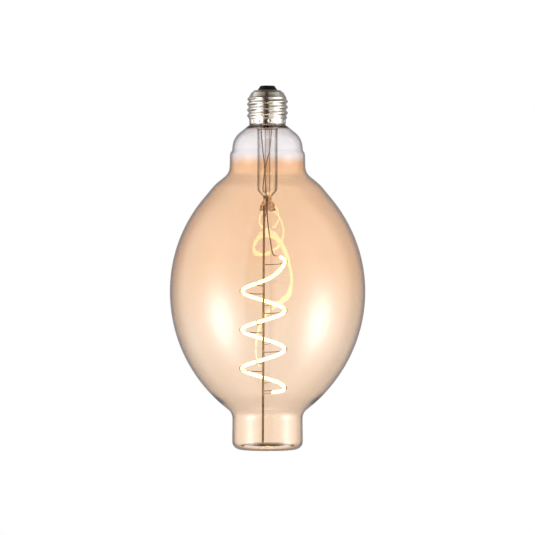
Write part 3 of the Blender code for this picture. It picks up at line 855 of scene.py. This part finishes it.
class LAMP_OT_filament(LampOperator, bpy.types.Operator):
    """The coiled LED strip"""

    bl_idname = "lamp.filament"
    bl_label = "Filament"

    def build(self, sizes):
        """A rounded strip carried down the helix, standing on edge: its flat sides face the rod."""
        path = even_steps(coil_points(np.linspace(COIL_START, COIL_END, 1200)), STRIP_STEP)
        outwards = path - np.stack([rod_x(path[:, 2]), 0 * path[:, 2], path[:, 2]], axis=1)
        angle = np.arange(20) * 2 * math.pi / 20
        thick, tall = sizes.filament_thickness / MM / 2, STRIP_RADIUS - 0.2
        shape = (np.abs(np.cos(angle)) ** 3 + np.abs(np.sin(angle)) ** 3) ** (-1 / 3)
        section = np.stack([thick * shape * np.cos(angle), tall * shape * np.sin(angle)], axis=1)
        reach = np.arange(len(path)) * STRIP_STEP
        ends = np.sqrt(np.clip(np.minimum(reach, reach[::-1]) / STRIP_ROUNDING, 0.12, 1.0))
        grid = sweep(path, outwards, section, ends)
        along = np.concatenate([[0.0], reach, [reach[-1]]])
        along = np.repeat(along[:, None], len(section), axis=1)
        settle("led_filament_strip", grid, finish("lit_phosphor"), ["led_filament"],
               attributes={"along": along}, sharp=60.0)


class LAMP_OT_driver(LampOperator, bpy.types.Operator):
    """Finishes for the driver's parts in the cap, whose shapes are the frame's own"""

    bl_idname = "lamp.driver"
    bl_label = "Driver Finishes"

    def build(self, sizes):
        parts = {"driver_board": "board_green", "radio_board": "board_green",
                 "smoothing_capacitor": "can_black", "driver_inductor": "ferrite",
                 "bridge_rectifier": "chip_black", "driver_chip": "chip_black", "radio_shield": "shield_tin",
                 "fuse_resistor": "fuse_blue", "live_wire": "tinned_copper", "neutral_wire": "tinned_copper"}
        for name, finish_name in parts.items():
            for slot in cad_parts[name].material_slots:
                slot.material = finish(finish_name)


class LAMP_OT_stage(LampOperator, bpy.types.Operator):
    """Pale floor, soft lights, white surroundings and the camera"""

    bl_idname = "lamp.stage"
    bl_label = "Stage"

    def build(self, sizes):
        self.floor()
        self.surroundings()
        self.top_light()
        self.camera()

    def floor(self):
        """A wide flat disc, thin, its rim rounded down, below the hanging lamp. Mirrors do not see it."""
        top = GLASS_END - FLOOR_DROP
        under = top - FLOOR_THICKNESS
        outline = round_outline([(0, top, 0), (FLOOR_RADIUS, top, 1), (FLOOR_RADIUS, under, 1),
                                 (0, under, 0)], 20.0)
        mesh = lay_mesh("floor", spin(outline, 96))
        mesh.materials.append(finish("pale_floor"))
        floor = bpy.data.objects.new("floor", mesh)
        bpy.context.scene.collection.objects.link(floor)
        floor.visible_glossy = False
        floor.visible_transmission = False

    def surroundings(self):
        """White for all that is seen straight or through glass, and a studio for all that is mirrored.

        The studio is bright to both sides of the camera, with a soft lamp on each side, grey behind,
        darker above and below, and has a dark gap at the camera itself. The lamps are weaker where they are
        mirrored by the inside of the glass, after several walls; the dark parts are mirrored only outside it.
        """
        world = bpy.data.worlds.new("white_studio")
        bpy.context.scene.world = world
        world.use_nodes = True
        nodes = Nodes(world.node_tree)
        output = nodes.add("ShaderNodeOutputWorld")
        light = nodes.add("ShaderNodeBackground")
        white = tuple(bpy.context.scene.lamp_colours.surroundings)
        place = nodes.add("ShaderNodeTexCoord")
        split = nodes.add("ShaderNodeSeparateXYZ")
        nodes.feed(place.outputs["Generated"], split.inputs[0])
        azimuth = nodes.math("ARCTAN2", split.outputs["X"], nodes.math("MULTIPLY", split.outputs["Y"], -1.0))
        height = split.outputs["Z"]
        from_camera = nodes.math("ABSOLUTE", nodes.math("ADD", azimuth, STUDIO_TURN))
        colour = nodes.mix(nodes.spread(from_camera, *BACK_BLEND, 0.0, 1.0), STUDIO_SIDES, STUDIO_BACK)
        rays = nodes.add("ShaderNodeLightPath")
        direct = nodes.spread(rays.outputs["Transmission Depth"], 0.5, 1.5, 1.0, 0.0)
        above = nodes.math("MULTIPLY", nodes.spread(height, *TOP_BLEND, 0.0, 1.0), direct)
        colour = nodes.mix(above, colour, STUDIO_TOP)
        below = nodes.math("MULTIPLY", nodes.spread(height, *BOTTOM_BLEND, 0.0, 1.0), direct)
        colour = nodes.mix(below, colour, STUDIO_BOTTOM)
        outside = nodes.spread(rays.outputs["Transmission Depth"], 2.5, 3.5, 1.0, SOFT_LAMP_INSIDE)
        for middle in SOFT_LAMPS:
            spot = nodes.math("MULTIPLY", self.soft_spot(nodes, azimuth, height, middle), outside)
            colour = nodes.mix(spot, colour, SOFT_LAMP_COLOUR)
        gap = nodes.math("MULTIPLY", nodes.spread(from_camera, *GAP_BLEND, 1.0, 0.0), direct)
        colour = nodes.mix(gap, colour, STUDIO_GAP)
        mirrored = nodes.spread(rays.outputs["Glossy Depth"], 0.25, 0.75, 0.0, 1.0)
        nodes.feed(nodes.mix(mirrored, white, colour), light.inputs["Color"])
        light.inputs["Strength"].default_value = 1.0
        nodes.feed(light.outputs[0], output.inputs["Surface"])

    def soft_spot(self, nodes, azimuth, height, middle):
        """A bell-shaped spot: e to the minus squared distance, in widths, from its middle direction."""
        across = nodes.math("DIVIDE", nodes.math("SUBTRACT", azimuth, math.radians(middle)), SOFT_LAMP_WIDTH)
        up = nodes.math("DIVIDE", nodes.math("SUBTRACT", height, SOFT_LAMP_HEIGHT), SOFT_LAMP_TALL)
        square = nodes.math("ADD", nodes.math("MULTIPLY", across, across), nodes.math("MULTIPLY", up, up))
        return nodes.math("EXPONENT", nodes.math("MULTIPLY", square, -1.0))

    def top_light(self):
        """A large soft lamp overhead, which lights the floor and is not mirrored."""
        light = bpy.data.lights.new("light_top", "AREA")
        light.shape = "DISK"
        light.size = TOP_LIGHT_SIZE
        light.energy = TOP_LIGHT_POWER
        item = bpy.data.objects.new("light_top", light)
        bpy.context.scene.collection.objects.link(item)
        item.location = (0.0, 0.0, TOP_LIGHT_HEIGHT)
        item.visible_glossy = False
        item.visible_transmission = False

    def camera(self):
        """A long lens, level with the middle of the lamp."""
        middle = (CAD_BOX[0] + CAD_BOX[1]) / 2
        data = bpy.data.cameras.new("camera")
        data.sensor_width = SENSOR_WIDTH
        data.lens = SENSOR_WIDTH * CAMERA_DISTANCE / FRAME_WIDTH
        camera = bpy.data.objects.new("camera", data)
        bpy.context.scene.collection.objects.link(camera)
        camera.location = (middle.x, middle.y - CAMERA_DISTANCE, middle.z)
        camera.rotation_euler = (math.radians(90.0), 0.0, 0.0)
        bpy.context.scene.camera = camera
        bpy.context.scene.view_settings.view_transform = "Standard"


class LAMP_PT_panel(bpy.types.Panel):
    """The lamp's sizes, colours and pieces"""

    bl_idname = "LAMP_PT_panel"
    bl_label = "Filament Lamp"
    bl_space_type = "VIEW_3D"
    bl_region_type = "UI"
    bl_category = "Lamp"

    def draw(self, context):
        for group in (context.scene.lamp_sizes, context.scene.lamp_colours):
            for name in group.__annotations__:
                self.layout.prop(group, name)
        for operator in OPERATORS:
            self.layout.operator(operator.bl_idname)


OPERATORS = (LAMP_OT_envelope, LAMP_OT_cap, LAMP_OT_stem, LAMP_OT_wires, LAMP_OT_hooks, LAMP_OT_filament,
             LAMP_OT_driver, LAMP_OT_stage)
CLASSES = (LampSizes, LampColours, *OPERATORS, LAMP_PT_panel)


def register():
    for item in CLASSES:
        bpy.utils.register_class(item)
    bpy.types.Scene.lamp_sizes = PointerProperty(type=LampSizes)
    bpy.types.Scene.lamp_colours = PointerProperty(type=LampColours)


def unregister():
    del bpy.types.Scene.lamp_colours
    del bpy.types.Scene.lamp_sizes
    for item in reversed(CLASSES):
        bpy.utils.unregister_class(item)


def main():
    """Builds every piece in order."""
    register()
    bpy.ops.lamp.envelope()
    bpy.ops.lamp.cap()
    bpy.ops.lamp.stem()
    bpy.ops.lamp.wires()
    bpy.ops.lamp.hooks()
    bpy.ops.lamp.filament()
    bpy.ops.lamp.driver()
    bpy.ops.lamp.stage()


if __name__ == "__main__":
    main()
